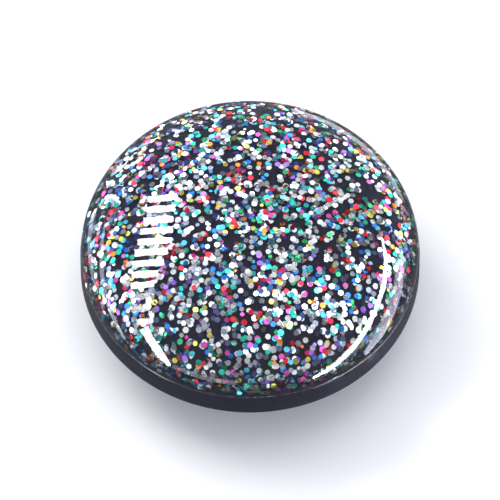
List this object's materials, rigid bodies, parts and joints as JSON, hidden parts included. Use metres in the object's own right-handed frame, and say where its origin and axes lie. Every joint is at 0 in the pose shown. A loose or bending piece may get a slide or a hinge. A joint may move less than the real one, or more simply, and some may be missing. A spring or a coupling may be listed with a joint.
{
  "type": "shank button",
  "caption": "Round sewing button with a clear domed face over holographic glitter, a black rim, and a moulded shank with a thread hole behind.",
  "frame": {"origin": "centre of the shank's flat end, which the button stands on with its dome up", "axes": "+Z from the shank's end to the top of the dome; the shank is long along X and the thread runs through its hole along Y"},
  "size_m": [0.018, 0.018, 0.0088],
  "materials": {
    "matte_black_plastic": "fine moulded grain, satin edges",
    "satin_black_plastic": "satin moulded",
    "holographic_glitter": "metallised holographic flakes in resin",
    "clear_resin": "clear, high gloss"
  },
  "bodies": {
    "root": {"back_plate": "matte_black_plastic", "front_cup": "satin_black_plastic", "glitter_layer": "holographic_glitter", "clear_dome": "clear_resin"}
  },
  "joints": []
}
